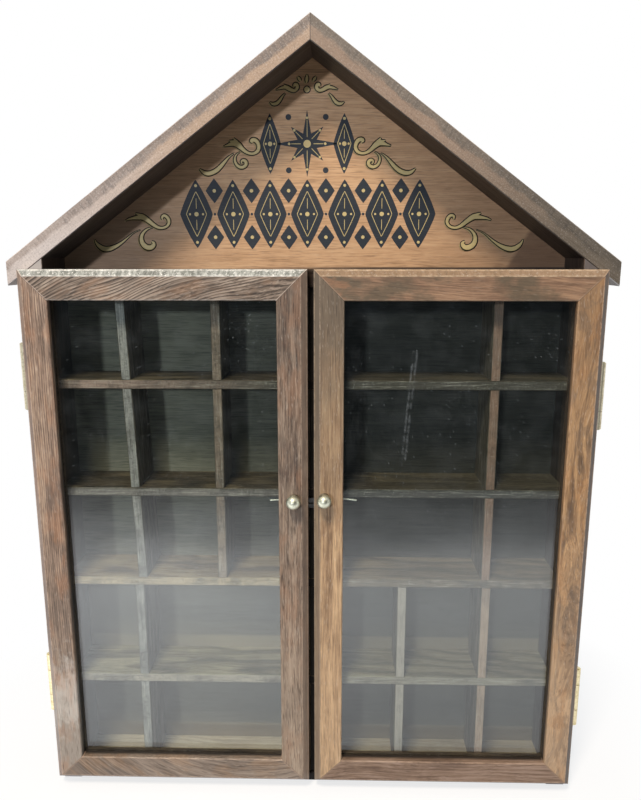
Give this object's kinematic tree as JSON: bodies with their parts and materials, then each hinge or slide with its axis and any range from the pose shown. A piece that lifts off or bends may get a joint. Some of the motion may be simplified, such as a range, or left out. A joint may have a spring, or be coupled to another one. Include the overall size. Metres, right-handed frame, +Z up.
{
  "type": "wall display case",
  "caption": "House-shaped wooden wall case with a grid of small compartments behind two glazed doors and an open gable recess.",
  "frame": {"origin": "on the base, in the middle of the overall width and depth", "axes": "+X right seen from the front, +Y towards the back, +Z up; the doors face -Y"},
  "size_m": [0.3474, 0.0602, 0.4652],
  "materials": {
    "case_wood": "dark walnut stain, satin",
    "door_wood": "dark walnut stain, satin",
    "grid_wood": "thin stain, sawn front edges",
    "plywood": "stained veneer plywood",
    "pane_glass": "clear window glass",
    "hinge_brass": "brass plated, lightly worn",
    "brass_screws": "brass plated, slotted",
    "knob_nickel": "nickel plated, dulled",
    "zinc_sheet": "zinc plated folded sheet",
    "ferrite": "bare sintered ferrite",
    "plain_steel": "plain steel",
    "hanger_steel": "passivated zinc"
  },
  "bodies": {
    "case": {"left_side": "case_wood", "right_side": "case_wood", "bottom_board": "case_wood", "attic_board": "case_wood", "left_roof_board": "case_wood", "right_roof_board": "case_wood", "back_panel": "plywood", "shelf_1": "grid_wood", "shelf_2": "grid_wood", "shelf_3": "grid_wood", "shelf_4": "grid_wood", "divider_a_upper": "grid_wood", "divider_b": "grid_wood", "divider_mid_upper": "grid_wood", "divider_c_upper": "grid_wood", "divider_a_lower": "grid_wood", "divider_mid_lower": "grid_wood", "divider_d": "grid_wood", "divider_c_lower": "grid_wood", "left_upper_case_leaf": "hinge_brass", "left_lower_case_leaf": "hinge_brass", "right_upper_case_leaf": "hinge_brass", "right_lower_case_leaf": "hinge_brass", "left_upper_hinge_pin": "hinge_brass", "left_lower_hinge_pin": "hinge_brass", "right_upper_hinge_pin": "hinge_brass", "right_lower_hinge_pin": "hinge_brass", "case_hinge_screws": "brass_screws", "catch_case": "zinc_sheet", "catch_pole_plates": "plain_steel", "catch_magnet": "ferrite", "catch_screws": "plain_steel", "back_brads": "plain_steel", "sawtooth_hanger": "hanger_steel", "hanger_nails": "plain_steel"},
    "left_door": {"left_hinge_stile": "door_wood", "left_meeting_stile": "door_wood", "left_top_rail": "door_wood", "left_bottom_rail": "door_wood", "left_glass": "pane_glass", "left_glazing_beads": "door_wood", "left_knob": "knob_nickel", "left_knob_screw": "plain_steel", "left_strike": "plain_steel", "left_door_hinge_screws": "brass_screws", "left_upper_door_leaf": "hinge_brass", "left_lower_door_leaf": "hinge_brass"},
    "right_door": {"right_hinge_stile": "door_wood", "right_meeting_stile": "door_wood", "right_top_rail": "door_wood", "right_bottom_rail": "door_wood", "right_glass": "pane_glass", "right_glazing_beads": "door_wood", "right_knob": "knob_nickel", "right_knob_screw": "plain_steel", "right_strike": "plain_steel", "right_door_hinge_screws": "brass_screws", "right_upper_door_leaf": "hinge_brass", "right_lower_door_leaf": "hinge_brass"}
  },
  "joints": [
    {"name": "left_door_swing", "type": "hinge", "parent": "case", "child": "left_door", "pos_m": [-0.1675, -0.01018, 0.17035], "axis": [0, 0, -1], "range_deg": [0, 105]},
    {"name": "right_door_swing", "type": "hinge", "parent": "case", "child": "right_door", "pos_m": [0.1675, -0.01018, 0.1623], "axis": [0, 0, 1], "range_deg": [0, 105]}
  ]
}
